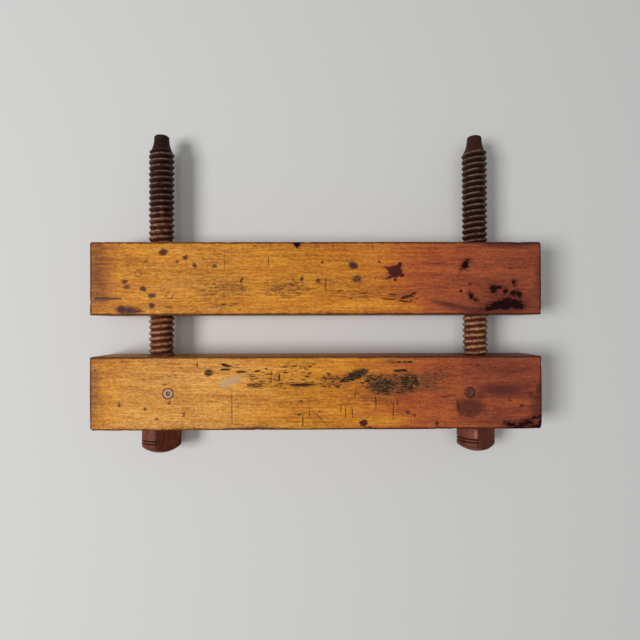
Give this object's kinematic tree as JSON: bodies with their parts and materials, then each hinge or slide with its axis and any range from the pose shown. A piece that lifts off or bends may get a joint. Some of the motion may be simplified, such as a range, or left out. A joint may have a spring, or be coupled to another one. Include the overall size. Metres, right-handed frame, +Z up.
{
  "type": "bookbinding finishing press",
  "caption": "Wooden finishing press: plain beams drawn together by turned wooden screws with grooved, flat-sided heads, each held in the near beam by a garter peg.",
  "frame": {"origin": "middle of the press on the bench surface, under the middle of its bounding box", "axes": "+X along the cheeks to the right as seen from the screw heads, +Y along the screws from heads to tips, +Z up from the bench"},
  "size_m": [0.457, 0.3344, 0.051],
  "materials": {
    "cheek_wood": "old oiled hardwood, honey brown, knife marks and ink stains",
    "screw_wood": "dark turned hardwood, worn crests",
    "peg_wood": "end grain of a greyed hardwood peg"
  },
  "bodies": {
    "near_cheek": {"near_cheek": "cheek_wood", "left_garter_peg": "peg_wood", "right_garter_peg": "peg_wood"},
    "far_cheek": {"far_cheek": "cheek_wood"},
    "left_screw": {"left_screw": "screw_wood"},
    "right_screw": {"right_screw": "screw_wood"}
  },
  "joints": [
    {"name": "cheek_slide", "type": "slide", "parent": "near_cheek", "child": "far_cheek", "axis": [0, 1, 0], "range_m": [-0.0412, 0.0945]},
    {"name": "left_screw_turn", "type": "hinge", "parent": "near_cheek", "child": "left_screw", "pos_m": [-0.164, -0.15095, 0.0255], "axis": [0, 1, 0], "range_deg": [-5490, 2394]},
    {"name": "right_screw_turn", "type": "hinge", "parent": "near_cheek", "child": "right_screw", "pos_m": [0.169, -0.15095, 0.0255], "axis": [0, 1, 0], "range_deg": [-5490, 2394]}
  ],
  "couplings": [
    {"joint": "left_screw_turn", "follows": "cheek_slide", "rad_per_m": -1013.4},
    {"joint": "right_screw_turn", "follows": "cheek_slide", "rad_per_m": -1013.4}
  ]
}
